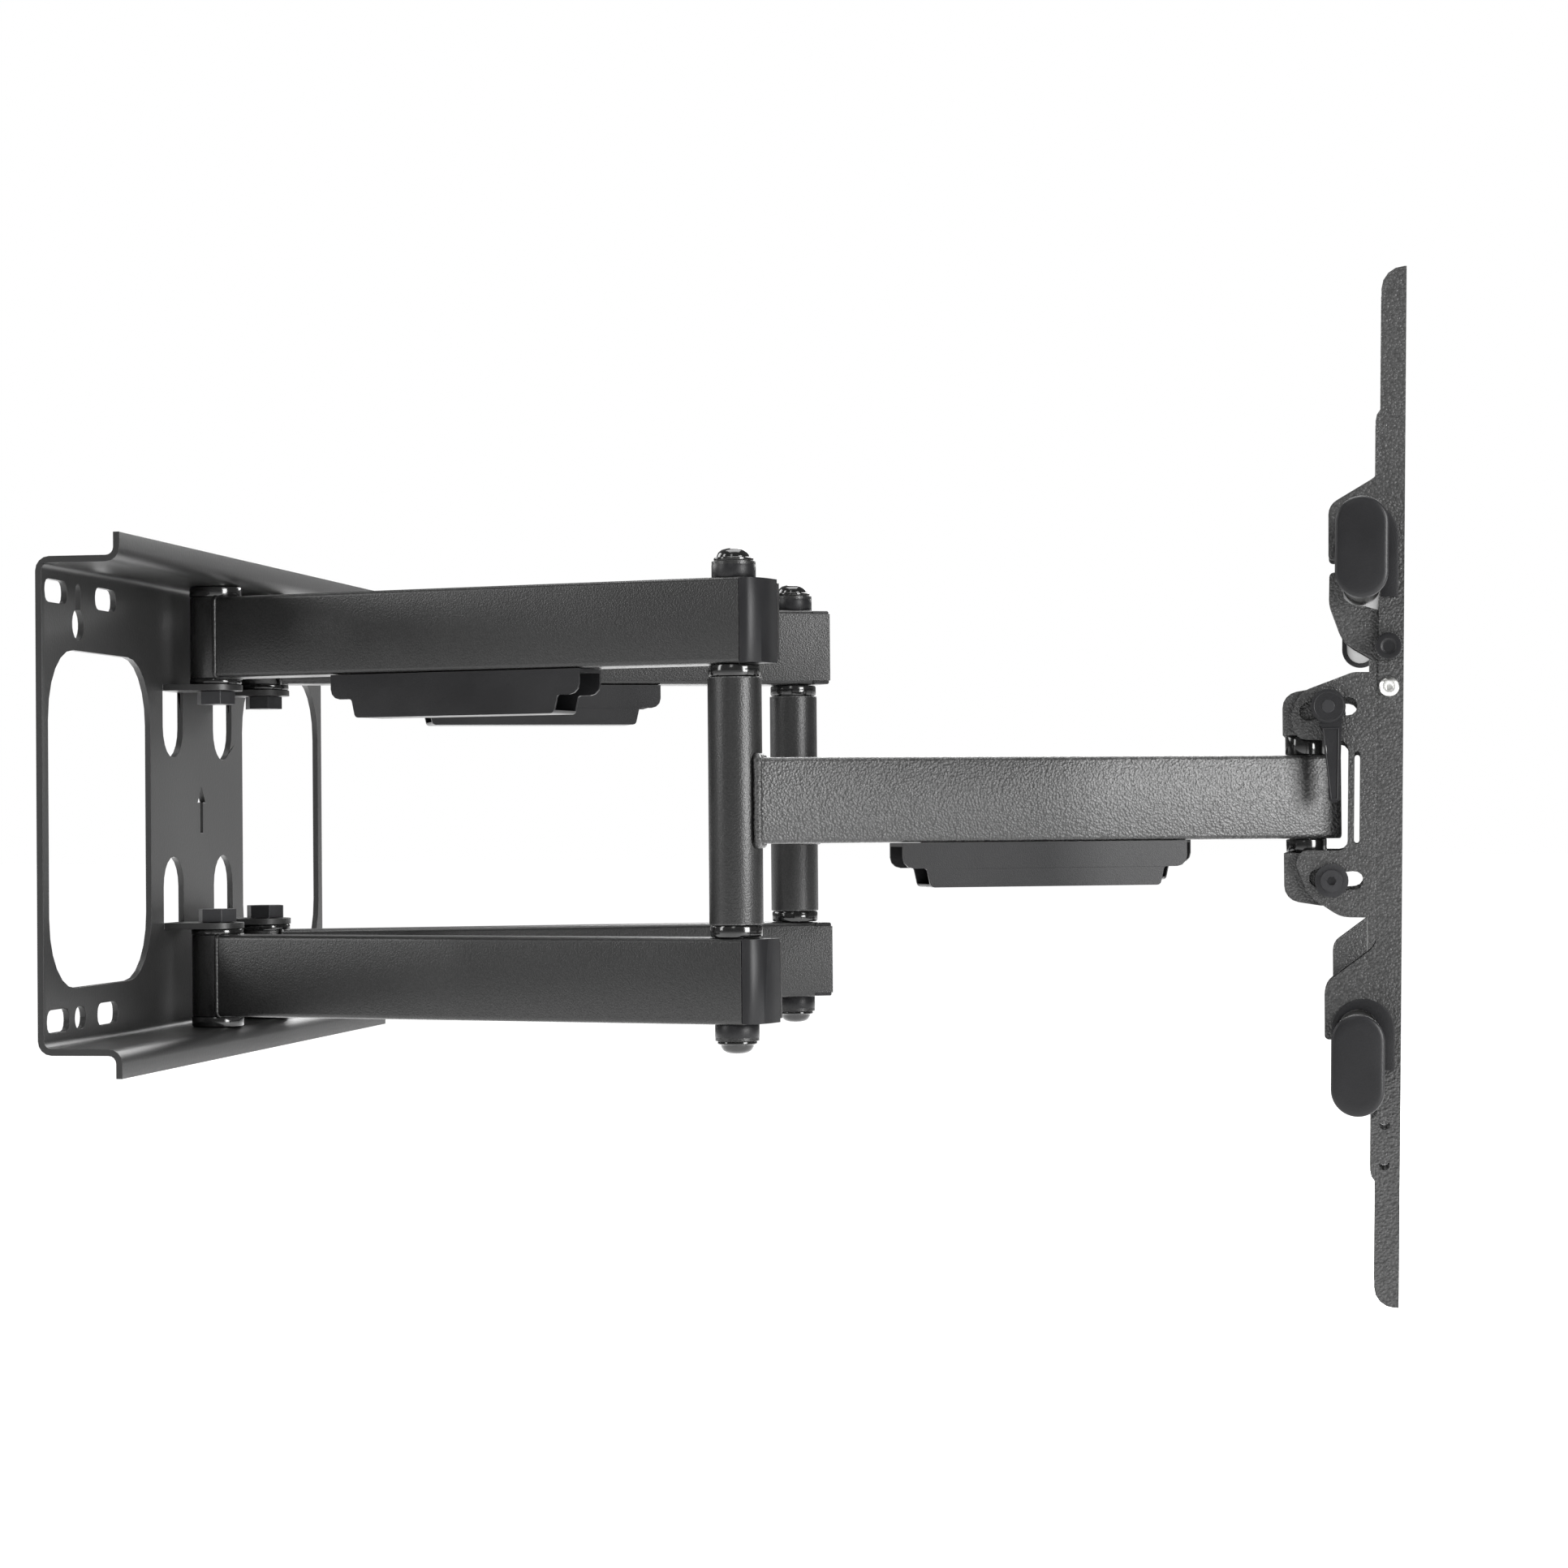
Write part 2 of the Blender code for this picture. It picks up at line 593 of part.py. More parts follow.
def build_tilt_hardware(frame, bolts):
    """The two long bolts through the ears, the clamp lever on the upper one and the nut on the lower one."""
    face = TILT_EAR_OUTER + GAP
    bolt_radius = 0.0030
    upper, lower = bolts["upper"], bolts["lower"]

    name = "tilt_bolt_upper"
    bolt = piece(name, rod_mesh(name, 0.0078, face, face + 0.0050, upper, axis="Y"), BLACK_STEEL, frame)
    add(bolt, rod_mesh("shank", bolt_radius, -face - 0.0102, face + 0.001, upper, 20, "Y"))

    name = "tilt_bolt_lower"
    bolt = piece(name, rod_mesh(name, 0.0080, -face - 0.0022, -face, lower, 28, "Y"), BLACK_STEEL, frame)
    add(bolt, rod_mesh("head", 0.0052, -face - 0.0060, -face - 0.0010, lower, 24, "Y"))
    add(bolt, rod_mesh("shank", bolt_radius, -face - 0.0015, face + 0.0070, lower, 20, "Y"))
    socket = flat_mesh("socket", [hexagon(*lower, 0.0040)], -face - 0.0070, -face - 0.0035, "XZ")
    cut(bolt, socket)

    name = "tilt_nut_lower"
    nut = [hexagon(*lower, 0.0130), circle(*lower, bolt_radius + GAP, 20)]
    piece(name, flat_mesh(name, nut, face, face + 0.0055, "XZ"), BLACK_STEEL, frame)

    name = "clamp_lever"
    hub = [circle(*upper, 0.0082, 28), circle(*upper, bolt_radius + GAP, 20)]
    lever = piece(name, flat_mesh(name, hub, -face - 0.0100, -face, "XZ"), BLACK_PLASTIC, frame)
    u, v = upper
    grip = rounded([
        (u - 0.0045, v - 0.0055, 0.0), (u - 0.0010, v - 0.0200, 0.0100), (u - 0.0002, v - 0.0456, 0.0015), (u + 0.0048, v - 0.0456, 0.0015),
        (u + 0.0065, v - 0.0040, 0.0),
    ], 2)
    add(lever, flat_mesh("grip", [grip], -face - 0.0090, -face - 0.0035, "XZ"))


def build_head(frame):
    back = TILT_AXIS_X - frame.location.x
    bolts = {level_name: (u + back, v) for level_name, (u, v) in TILT_BOLTS.items()}
    for level_name, level in LEVELS.items():
        build_yoke(level_name, level, frame, bolts[level_name])
    build_head_pivots(frame)
    build_tilt_hardware(frame, bolts)


# Tilting frame ----------------------------------------------------------------------------------------


def side_plate_outlines():
    """One C-shaped side of the tilt bracket, with an arc slot in each ear and a long slot in its spine."""
    edge = SPINE_BACK + 0.0002
    body = rounded([
        (edge, 0.0597, 0.0), (0.0050, 0.0597, 0.010), (-0.0200, 0.0500, 0.010), (-0.0243, 0.0390, 0.006),
        (-0.0220, 0.0271, 0.006), (0.0030, 0.0271, 0.0045), (0.0030, -0.0259, 0.0045),
        (-0.0200, -0.0259, 0.005), (-0.0215, -0.0330, 0.004), (-0.0150, -0.0480, 0.012),
        (0.0000, -0.0578, 0.014), (edge, -0.0578, 0.0),
    ], 3)
    slots = []
    for level_name, (middle, half_angle) in TILT_SLOTS.items():
        reach = math.hypot(*TILT_BOLTS[level_name])
        slots.append(arc_slot(reach, math.radians(middle), math.radians(half_angle),
                              TILT_SLOT_HALF_WIDTH, 6, downwards=level_name == "lower"))
    spine = obround(0.00725, -0.0005, 0.0027, 0.0447, 3)
    return [body, spine] + slots


def build_tilt_bracket(frame):
    """A channel: a plate between the crossbars with a C-shaped side at each edge."""
    top = CROSSBAR_Z["upper"] - CROSSBAR_HEIGHT / 2 - GAP
    bottom = CROSSBAR_Z["lower"] + CROSSBAR_HEIGHT / 2 + GAP
    half = TILT_EAR_OUTER
    plate = [rectangle(-half, bottom, half, top, 0.004), rectangle(-0.028, -0.062, 0.028, 0.050, 0.012, 3)]
    bracket = piece("tilt_bracket", flat_mesh("tilt_bracket", plate, SPINE_BACK, SPINE_FRONT, "YZ"), TEXTURED_BLACK, frame)
    sides = []
    for side in SIDES.values():
        low, high = sorted((side * TILT_EAR_INNER, side * TILT_EAR_OUTER))
        sides.append(flat_mesh("side_plate", side_plate_outlines(), low, high, "XZ"))
    add(bracket, joined("side_plates", sides))


def build_crossbar(level_name, frame):
    z = CROSSBAR_Z[level_name]
    width, height, wall = CROSSBAR_WIDTH, CROSSBAR_HEIGHT, CROSSBAR_WALL
    outlines = [
        obround(CROSSBAR_X, z, width, height, 8),
        obround(CROSSBAR_X, z, width - 2 * wall, height - 2 * wall, 4),
    ]
    name = f"crossbar_{level_name}"
    half = CROSSBAR_HALF_LENGTH
    piece(name, flat_mesh(name, outlines, -half, half, "XZ"), SATIN_BLACK, frame)
    for side_name, side in SIDES.items():
        name = f"crossbar_cap_{level_name}_{side_name}"
        low, high = sorted((side * (half + GAP), side * (half + CAP_THICKNESS)))
        cap_outline = [obround(CROSSBAR_X, z, CAP_WIDTH, CAP_HEIGHT, 6)]
        cap = piece(name, flat_mesh(name, cap_outline, low, high, "XZ"), BLACK_PLASTIC, frame)
        bevel(cap, 0.0010)


def flange_outline():
    """A rail's side: a plain strip with a hook over each crossbar and a slanted, rounded top and bottom end."""
    arch = (SLOT_RIGHT - SLOT_LEFT) / 2 - 0.00005
    upper_top = CROSSBAR_Z["upper"] + CROSSBAR_HEIGHT / 2 + 0.0008
    lower_top = CROSSBAR_Z["lower"] + CROSSBAR_HEIGHT / 2 + 0.0008
    return rounded([
        (RAIL_FRONT, RAIL_TOP, 0.0), (RAIL_BACK, RAIL_TOP, 0.0095), (RAIL_BACK, 0.1345, 0.008),
        (-0.0055, 0.1215, 0.007), (-0.0053, 0.0984, 0.0018), (SLOT_LEFT, 0.0984, 0.0014),
        (SLOT_LEFT, upper_top, arch), (SLOT_RIGHT, upper_top, arch), (SLOT_RIGHT, 0.0825, 0.0),
        (RAIL_BACK, 0.0805, 0.0), (RAIL_BACK, -0.0640, 0.008), (-0.0056, -0.0805, 0.008),
        (-0.0053, -0.1036, 0.0018), (SLOT_LEFT, -0.1036, 0.0014), (SLOT_LEFT, lower_top, arch),
        (SLOT_RIGHT, lower_top, arch), (SLOT_RIGHT, -0.1345, 0.0), (RAIL_BACK - 0.0015, -0.1370, 0.0),
        (RAIL_BACK - 0.0015, -0.1526, 0.0), (RAIL_BACK, -0.1550, 0.0), (RAIL_BACK, RAIL_BOTTOM, 0.0085),
        (RAIL_FRONT, RAIL_BOTTOM, 0.0),
    ], 4)


def build_rail(side_name, side, frame):
    """A channel that hangs on both crossbars, with the TV's screw slots in its front web."""
    middle = side * RAIL_Y
    outer = RAIL_HALF_WIDTH
    holes = [
        circle(0.0198, -0.1389, 0.00225, 14), circle(0.0199, -0.1559, 0.00225, 14),
    ]
    if side_name == LATCH_SIDE:
        holes += [circle(*LATCH_PIVOT, 0.0023, 16), circle(*KNOB_AT, 0.0023, 16)]
    name = f"tv_rail_{side_name}"
    solid = flat_mesh(name, [flange_outline()] + holes, middle - outer, middle + outer, "XZ")
    rail = piece(name, solid, TEXTURED_BLACK, frame)
    room = outer - RAIL_SHEET
    inside = rectangle(middle - room, -0.3, middle + room, 0.3)
    channel = flat_mesh("channel", [inside], -0.02, RAIL_FRONT - RAIL_SHEET, "YZ")
    web_slots = [obround(middle, z, 0.0085, 0.0200, 3) for z in (-0.195, -0.145, -0.095, -0.045)]
    web_slots += [obround(middle, z, 0.0085, 0.0200, 3) for z in (0.055, 0.105, 0.155, 0.205)]
    cut(rail, channel)
    cut(rail, flat_mesh("web_slots", web_slots, RAIL_FRONT - 0.0035, RAIL_FRONT + 0.001, "YZ"))


def latch_outline():
    """The latch's cheek: a jaw under the upper crossbar that narrows to its pivot."""
    pivot_u, pivot_v = LATCH_PIVOT
    jaw_u, jaw_v = CROSSBAR_X, CROSSBAR_Z["upper"] - CROSSBAR_HEIGHT / 2 + CROSSBAR_WIDTH / 2
    grip = CROSSBAR_WIDTH / 2 + 0.0016
    jaw = [
        (jaw_u + grip * math.cos(a), jaw_v + grip * math.sin(a))
        for a in [math.pi + math.radians(100) * i / 8 for i in range(9)]
    ]
    tail = [
        (pivot_u + 0.0034 * math.cos(a), pivot_v + 0.0034 * math.sin(a))
        for a in [-math.pi / 2 * i / 5 for i in range(6)]
    ]
    back = rounded([
        (0.0150, 0.0430, 0.0), (0.0149, 0.0560, 0.004), (0.0010, 0.0640, 0.014), (-0.0050, 0.0800, 0.010),
        (-0.0049, 0.0933, 0.0020), (jaw_u - grip, 0.0933, 0.0),
    ], 3)
    return back + jaw + [(0.0169, 0.0770), (0.0237, 0.0700)] + tail


def build_latch(side_name, side, frame):
    """Two cheeks inside the rail, joined by a bridge behind the jaw, on the pivot screw."""
    middle = side * RAIL_Y
    outer = RAIL_HALF_WIDTH - RAIL_SHEET - 0.0005
    name = f"rail_latch_{side_name}"
    outlines = [latch_outline(), circle(*LATCH_PIVOT, 0.0023, 16)]
    latch = piece(name, flat_mesh(name, outlines, middle - outer, middle + outer, "XZ"), TEXTURED_BLACK, frame)
    room = outer - 0.0020
    inside = rectangle(middle - room, 0.03, middle + room, 0.0700)
    cut(latch, flat_mesh("latch_room", [inside], -0.02, 0.05, "YZ"))


def build_rail_fasteners(side_name, side, frame):
    """The latch's bright pivot screw and the knob that locks it, both on the rail's outer side."""
    outer_face = side * (RAIL_Y + RAIL_HALF_WIDTH + GAP)
    inner_face = side * (RAIL_Y + RAIL_HALF_WIDTH - RAIL_SHEET - GAP)
    screw = [(0.0, 0.0005), (0.0014, 0.0005), (0.0014, 0.0021), (0.0027, 0.0024), (0.0041, 0.0016),
             (0.0043, 0.0), (0.0019, 0.0), (0.0019, -0.0252), (0.0, -0.0252)]
    turned(f"latch_screw_{side_name}", screw, BRIGHT_STEEL, frame,
           (LATCH_PIVOT[0], outer_face, LATCH_PIVOT[1]), "Y", 16, flip=side > 0)
    shank = -abs(outer_face - inner_face)
    knob = [(0.0, 0.0072), (0.0048, 0.0072), (0.0057, 0.0064), (0.0059, 0.0030), (0.0056, 0.0006),
            (0.0050, 0.0), (0.0019, 0.0), (0.0019, shank), (0.0, shank)]
    turned(f"latch_knob_{side_name}", knob, BLACK_PLASTIC, frame,
           (KNOB_AT[0], outer_face, KNOB_AT[1]), "Y", 18, flip=side > 0)


def build_tv_side(frame):
    build_tilt_bracket(frame)
    for level_name in LEVELS:
        build_crossbar(level_name, frame)
    for side_name, side in SIDES.items():
        build_rail(side_name, side, frame)
    build_latch(LATCH_SIDE, SIDES[LATCH_SIDE], frame)
    build_rail_fasteners(LATCH_SIDE, SIDES[LATCH_SIDE], frame)


def shade_round_pieces():
    for made in PARTS.objects:
        if made.type == "MESH" and made.data.polygons:
            made.data.shade_smooth()
            made.data.set_sharp_from_angle(angle=math.radians(35))


def build_mount():
    build_wall_plate()
    build_wall_pivots()
    build_arms()
    centre = head_centre()
    build_head(frame_at("head_frame", centre))
    build_tv_side(frame_at("tilt_frame", (TILT_AXIS_X, centre.y, 0), turn_y=TILT_AT_REST))
    shade_round_pieces()


build_mount()
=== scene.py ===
"""Full motion TV wall mount: finishes, round-edged skins over the frame's solids, and the parts that only show.

Lengths are metres in the row frame: X from the wall to the TV, Y along the wall, Z up.
"""

import json
import math

import bpy
import numpy as np
from mathutils import Matrix, Vector


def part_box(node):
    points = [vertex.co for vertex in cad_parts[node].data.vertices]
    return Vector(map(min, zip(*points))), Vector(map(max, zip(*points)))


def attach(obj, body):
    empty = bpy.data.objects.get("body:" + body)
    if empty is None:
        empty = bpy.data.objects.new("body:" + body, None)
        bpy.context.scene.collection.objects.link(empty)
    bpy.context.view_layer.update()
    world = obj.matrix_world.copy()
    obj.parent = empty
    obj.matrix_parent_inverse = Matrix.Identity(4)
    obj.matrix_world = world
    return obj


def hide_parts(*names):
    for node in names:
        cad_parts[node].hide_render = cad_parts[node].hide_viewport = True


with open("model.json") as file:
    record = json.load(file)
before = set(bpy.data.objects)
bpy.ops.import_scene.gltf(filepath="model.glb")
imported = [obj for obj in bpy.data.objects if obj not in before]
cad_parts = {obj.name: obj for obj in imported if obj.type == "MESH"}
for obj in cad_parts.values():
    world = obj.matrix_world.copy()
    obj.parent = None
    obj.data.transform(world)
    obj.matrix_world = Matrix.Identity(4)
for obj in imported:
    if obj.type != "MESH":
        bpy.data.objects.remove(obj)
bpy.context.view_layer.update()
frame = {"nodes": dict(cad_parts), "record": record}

MM = 0.001
TURN = 2 * math.pi
SHARP_DEGREES = 33.0
RECORD = frame["record"]
JOINTS = {joint["name"]: joint for joint in RECORD["behaviour"]["joints"]}
BODY_OF = {node: body for body, nodes in RECORD["behaviour"]["bodies"].items() for node in nodes}
SLOT_OF = {part["node"]: part["material_slot"] for part in RECORD["subparts"]}
SIDES = {"near": -1, "far": 1}
LEVELS = {"upper": 1, "lower": -1}


# Places -----------------------------------------------------------------------------------------------


def middle(node):
    """The centre of a CAD node's box."""
    low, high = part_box(node)
    return (np.array(low) + np.array(high)) / 2


def reach(node, axis):
    """The lowest and highest coordinate of a CAD node on one axis."""
    low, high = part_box(node)
    return low[axis], high[axis]


PIVOT = {
    "near": np.array(JOINTS["fold"]["pos_m"]),
    "far": np.array(JOINTS["fold_far"]["pos_m"]),
}
ELBOW = {side: np.array(JOINTS[f"elbow_{side}"]["pos_m"]) for side in SIDES}
HEAD = {side: middle(f"head_pin_{side}") * (1, 1, 0) for side in SIDES}
TILT = np.array(JOINTS["tilt"]["pos_m"])
TILT_AT_REST = math.radians(1.0)
HALF_TUBE_H, HALF_TUBE_W, TUBE_CORNER = 20.0 * MM, 12.5 * MM, 2.2 * MM


def heading(start, end):
    """The angle about Z of the line from start to end."""
    return math.atan2(end[1] - start[1], end[0] - start[0])


def in_arm(points, start, angle):
    """Turns points by angle about Z, then moves them to start: from an arm's own frame to the row frame."""
    c, s = math.cos(angle), math.sin(angle)
    turned = points @ np.array([[c, s, 0], [-s, c, 0], [0, 0, 1]])
    return turned + start


def in_tilt(points):
    """Turns points by the rest tilt about Y and moves them to the tilt axis."""
    c, s = math.cos(TILT_AT_REST), math.sin(TILT_AT_REST)
    turned = points @ np.array([[c, 0, -s], [0, 1, 0], [s, 0, c]])
    return turned + TILT


# Surfaces ---------------------------------------------------------------------------------------------


def put_mesh(name, points, faces, sharp=40.0):
    mesh = bpy.data.meshes.new(name)
    mesh.from_pydata(points.reshape(-1, 3).tolist(), [], faces)
    mesh.update()
    mesh.shade_smooth()
    mesh.set_sharp_from_angle(angle=math.radians(sharp))
    made = bpy.data.objects.new(name, mesh)
    bpy.context.scene.collection.objects.link(made)
    return made


def grid_faces(rows, columns, closed_rows):
    """Quads over a grid whose columns wrap round. Rows wrap too when closed_rows is true."""
    last = rows if closed_rows else rows - 1
    i, j = np.meshgrid(np.arange(last), np.arange(columns), indexing="ij")
    ahead, beside = (i + 1) % rows, (j + 1) % columns
    quads = np.stack([i * columns + j, i * columns + beside, ahead * columns + beside, ahead * columns + j], -1)
    return quads.reshape(-1, 4).tolist()


def wrapped(name, grid, closed_rows=False, sharp=40.0):
    """A surface from grid (rows, columns, 3). Open ends are closed with one face each."""
    rows, columns = grid.shape[:2]
    faces = grid_faces(rows, columns, closed_rows)
    if not closed_rows:
        faces.append(list(range(columns))[::-1])
        faces.append([(rows - 1) * columns + j for j in range(columns)])
    if signed_volume(grid.reshape(-1, 3), faces) < 0:
        faces = [face[::-1] for face in faces]
    return put_mesh(name, grid, faces, sharp)


def signed_volume(points, faces):
    """Sum over the faces' triangle fans of a . (b x c) / 6: above zero when they point outwards."""
    triangles = np.array([(f[0], f[k], f[k + 1]) for f in faces for k in range(1, len(f) - 1)])
    a, b, c = (points[triangles[:, k]] for k in range(3))
    return float(np.einsum("ij,ij->i", a, np.cross(b, c)).sum() / 6)


def turned_grid(profile, steps, ripple=None):
    """Row i is the circle of radius r_i at height z_i: (r cos a, r sin a, z). ripple(a, z) scales r."""
    profile = np.array(profile, float)
    a = np.arange(steps) * TURN / steps
    r = np.repeat(profile[:, :1], steps, 1)
    z = np.repeat(profile[:, 1:], steps, 1)
    if ripple is not None:
        r = r * ripple(a[None, :], z)
    return np.stack([r * np.cos(a), r * np.sin(a), z], -1)


def rounded_profile(corners, steps=4):
    """The line through corners (r, z, fillet), each corner replaced by a quadratic curve that is fillet long.

    Point t of a corner's curve is (1-t)^2 p + 2t(1-t) c + t^2 q, with p and q on its two sides.
    """
    out = []
    t = np.linspace(0, 1, steps + 1)[:, None]
    count = len(corners)
    for i, (r, z, fillet) in enumerate(corners):
        here = np.array([r, z])
        if fillet <= 0 or i in (0, count - 1):
            out.append(here[None])
            continue
        back, ahead = np.array(corners[i - 1][:2]) - here, np.array(corners[i + 1][:2]) - here
        p = here + back / np.linalg.norm(back) * fillet
        q = here + ahead / np.linalg.norm(ahead) * fillet
        out.append((1 - t) ** 2 * p + 2 * t * (1 - t) * here + t ** 2 * q)
    return np.concatenate(out)


def washer_grid(outer, inner, low, high, edge, steps=72):
    """A ring of rectangular section with round edges, as a closed row of circles."""
    e = min(edge, (outer - inner) / 3, (high - low) / 3)
    section = [(inner, low), (outer - e, low), (outer - 0.3 * e, low + 0.3 * e), (outer, low + e),
               (outer, high - e), (outer - 0.3 * e, high - 0.3 * e), (outer - e, high), (inner, high)]
    return turned_grid(section, steps)


def oblong(width, height, inset, count=16):
    """The outline (u, v) of a bar with half-round ends, pulled in by inset: count points on each end."""
    r = width / 2 - inset
    a = np.linspace(0, math.pi, count)
    top = np.stack([r * np.cos(a), (height - width) / 2 + r * np.sin(a)], -1)
    return np.concatenate([top, -top])


def box_outline(half_w, half_h, corner, inset=0.0, count=6):
    """A rounded rectangle's outline (y, z): quarter circles of radius corner - inset about its four corners."""
    r = max(corner - inset, 1e-5)
    quarters = []
    for k, (sy, sz) in enumerate(((1, 1), (-1, 1), (-1, -1), (1, -1))):
        a = np.linspace(k, k + 1, count) * math.pi / 2
        centre = np.array([sy * (half_w - corner), sz * (half_h - corner)])
        quarters.append(centre + r * np.stack([np.cos(a), np.sin(a)], -1))
    return np.concatenate(quarters)


def bead_grid(path, out, radius, pitch, around=10):
    """A weld bead on a closed path: a tube whose radius swells by a fifth once every pitch of length.

    Point (s, a) is path(s) + R(s) (cos a out + sin a side), with side = tangent x out.
    """
    tangent = np.roll(path, -1, 0) - np.roll(path, 1, 0)
    length = np.linalg.norm(np.roll(path, -1, 0) - path, axis=1)
    tangent /= np.linalg.norm(tangent, axis=1)[:, None]
    out = out - tangent * np.einsum("ij,ij->i", out, tangent)[:, None]
    out /= np.linalg.norm(out, axis=1)[:, None]
    side = np.cross(tangent, out)
    s = np.concatenate([[0], np.cumsum(length)[:-1]])
    r = radius * (1 + 0.16 * np.abs(np.sin(math.pi * s / pitch)) + 0.06 * np.sin(TURN * s / (pitch * 5.3)))
    a = np.arange(around) * TURN / around
    ring = out[:, None] * np.cos(a)[None, :, None] + side[:, None] * np.sin(a)[None, :, None]
    return path[:, None] + ring * r[:, None, None]


def resampled(outline, step):
    """The closed outline with points about step apart along it."""
    closed = np.concatenate([outline, outline[:1]])
    s = np.concatenate([[0], np.cumsum(np.linalg.norm(np.diff(closed, axis=0), axis=1))])
    t = np.linspace(0, s[-1], max(int(s[-1] / step), 24), endpoint=False)
    return np.stack([np.interp(t, s, closed[:, k]) for k in range(closed.shape[1])], -1)


# Finishes ---------------------------------------------------------------------------------------------


class Wire:
    """A socket in a material, on which arithmetic adds Math nodes."""

    def __init__(self, tree, socket):
        self.tree, self.socket = tree, socket

    def math(self, operation, *values):
        return add_node(self.tree, "ShaderNodeMath", {"operation": operation}, dict(enumerate(values)))

    def __add__(self, other):
        return self.math("ADD", self, other)

    def __sub__(self, other):
        return self.math("SUBTRACT", self, other)

    def __rsub__(self, other):
        return self.math("SUBTRACT", other, self)

    def __mul__(self, other):
        return self.math("MULTIPLY", self, other)

    def __pow__(self, other):
        return self.math("POWER", self, other)

    __radd__, __rmul__ = __add__, __mul__


def add_node(tree, kind, settings, inputs, output=0):
    """Adds one node: its settings first, then each input by name or number, as a value or a Wire."""
    node = tree.nodes.new(kind)
    for key, value in settings.items():
        if key == "stops":
            ramp = node.color_ramp
            ramp.elements[0].position, ramp.elements[0].color = value[0][0], (*[value[0][1]] * 3, 1)
            ramp.elements[1].position, ramp.elements[1].color = value[1][0], (*[value[1][1]] * 3, 1)
        else:
            setattr(node, key, value)
    for key, value in inputs.items():
        if isinstance(value, Wire):
            tree.links.new(value.socket, node.inputs[key])
        else:
            node.inputs[key].default_value = value
    return Wire(tree, node.outputs[output])


class Finish:
    """A material whose patterns all read Object coordinates."""

    def __init__(self, name):
        self.material = bpy.data.materials.new(name)
        self.material.use_nodes = True
        self.tree = self.material.node_tree
        self.shader = self.tree.nodes["Principled BSDF"]
        self.place = add_node(self.tree, "ShaderNodeTexCoord", {}, {}, "Object")

    def noise(self, size, detail=2.0, roughness=0.5):
        """Noise from 0 to 1 whose patches are about size across, in metres."""
        return add_node(self.tree, "ShaderNodeTexNoise", {},
                        {"Vector": self.place, "Scale": 1 / size, "Detail": detail, "Roughness": roughness}, "Fac")

    def pebbles(self, size):
        """Distance to the nearest of scattered points that are about size apart."""
        return add_node(self.tree, "ShaderNodeTexVoronoi", {"feature": "SMOOTH_F1"},
                        {"Vector": self.place, "Scale": 1 / size, "Smoothness": 0.6}, "Distance")

    def ramp(self, value, low, high, low_out=0.0, high_out=1.0):
        """low_out up to low, high_out from high, and a straight run between."""
        return add_node(self.tree, "ShaderNodeValToRGB", {"stops": [(low, low_out), (high, high_out)]}, {"Fac": value})

    def blend(self, factor, first, second):
        """The first colour at factor 0 and the second at 1."""
        return add_node(self.tree, "ShaderNodeMix", {"data_type": "RGBA"},
                        {0: factor, 6: (*first, 1), 7: (*second, 1)}, 2)

    def bump(self, height, depth, strength=1.0):
        """A normal that follows height, scaled to depth metres."""
        return add_node(self.tree, "ShaderNodeBump", {},
                        {"Height": height, "Distance": depth, "Strength": strength})

    def set(self, **values):
        """Sets the shader's sockets to constants or links wires to them, and returns the material."""
        for name, value in values.items():
            socket = self.shader.inputs[name.replace("_", " ")]
            if isinstance(value, Wire):
                self.tree.links.new(value.socket, socket)
            else:
                socket.default_value = value
        return self.material


def textured_coat(name, grain, dark, light, rough, depth, gloss):
    """Powder coat with a fine pebbled grain: rounded bumps, dull hollows, and a painted highlight that makes the bump
    tops slightly brighter.
    """
    f = Finish(name)
    pebble = 1 - f.pebbles(grain)
    fine = f.noise(grain * 0.5, 2.0)
    cloud = f.noise(0.045, 2.0)
    height = pebble * 0.75 + fine * 0.45
    # tops marks where the bumps stand high: the roughness uses it for smoother tops, the base colour for a painted
    # highlight.
    tops = f.ramp(height, 0.42, 0.95)
    return f.set(
        # Painted highlight: the bump tops are painted lighter, mixed with a faint random clouding of tone.
        Base_Color=f.blend(tops * 0.85 + cloud * 0.15, dark, light),
        Roughness=rough + 0.10 * cloud - 0.12 * tops,
        Metallic=0.0,
        Specular_IOR_Level=gloss,
        Normal=f.bump(height, depth),
    )


def smooth_coat(name, dark, light, rough, gloss):
    """Satin powder coat: a shallow orange peel with faint clouding."""
    f = Finish(name)
    peel = f.noise(0.0016, 1.0)
    speck = f.noise(0.00045, 2.0)
    cloud = f.noise(0.06, 2.0)
    return f.set(
        Base_Color=f.blend(cloud * 0.6 + speck * 0.4, dark, light),
        Roughness=rough + 0.08 * cloud + 0.06 * speck,
        Metallic=0.0,
        Specular_IOR_Level=gloss,
        Normal=f.bump(peel * 0.7 + speck * 0.3, 0.00007),
    )


def moulded(name, colour, rough, grain, depth, gloss):
    """Moulded plastic: an even spark-eroded grain and slow changes of gloss."""
    f = Finish(name)
    fine = f.noise(grain, 2.0)
    slow = f.noise(0.02, 1.0)
    lighter = tuple(min(c * 1.5 + 0.004, 1) for c in colour)
    return f.set(
        Base_Color=f.blend(slow, colour, lighter),
        Roughness=rough + 0.07 * fine + 0.05 * slow,
        Specular_IOR_Level=gloss,
        Normal=f.bump(fine, depth),
    )


def metal(name, colour, rough, depth, metallic=1.0):
    """Plated or blackened steel: fine scratches and a patchy sheen."""
    f = Finish(name)
    fine = f.noise(0.0003, 3.0)
    slow = f.noise(0.006, 2.0)
    darker = tuple(c * 0.72 for c in colour)
    return f.set(
        Base_Color=f.blend(slow, darker, colour),
        Roughness=rough + 0.12 * slow + 0.05 * fine,
        Metallic=metallic,
        Normal=f.bump(fine, depth),
    )


